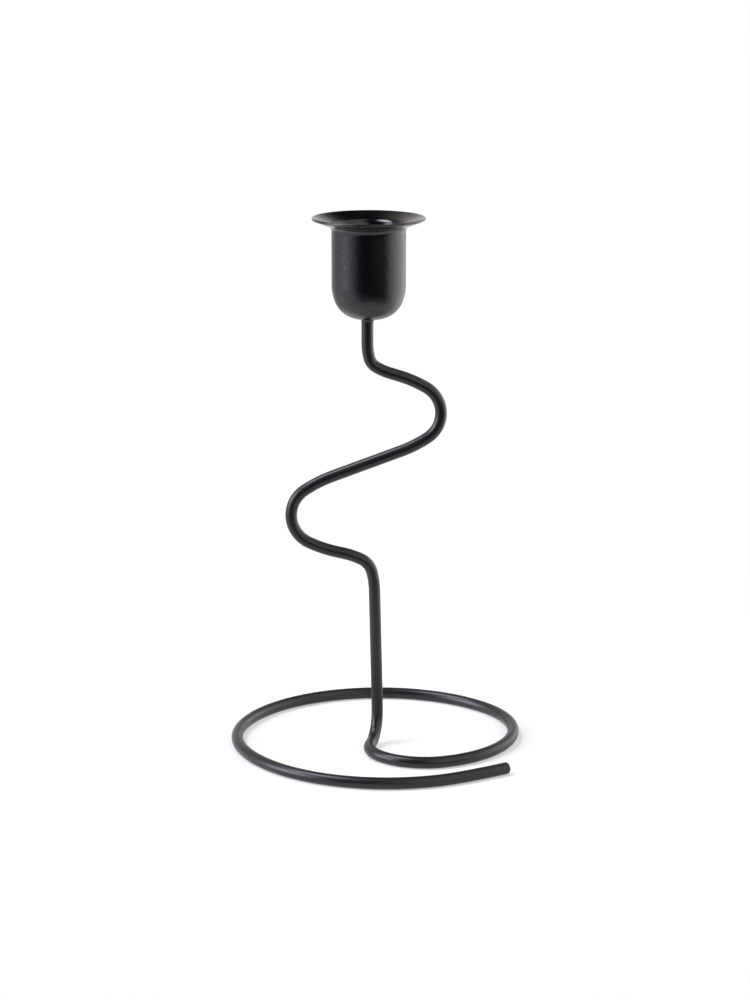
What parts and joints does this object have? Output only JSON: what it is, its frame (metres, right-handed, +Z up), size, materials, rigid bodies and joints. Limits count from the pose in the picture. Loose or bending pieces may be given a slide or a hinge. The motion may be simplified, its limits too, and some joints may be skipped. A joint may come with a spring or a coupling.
{
  "type": "taper candle holder",
  "caption": "Free-standing taper candle holder: a wire bent into a flat spiral base and a zigzag upright carries a drawn steel cup with a flared rim.",
  "frame": {"origin": "on the table, at the centre of the base's footprint", "axes": "+Z up along the upright, -Y towards the viewer of the picture, +X to the right"},
  "size_m": [0.1, 0.101, 0.1825],
  "materials": {
    "black_coat": "black powder coat, satin",
    "cup_coat": "black powder coat, satin, glossier on the flared rim"
  },
  "bodies": {
    "root": {"wire_frame": "black_coat", "candle_cup": "cup_coat", "neck_weld": "black_coat"}
  },
  "joints": []
}
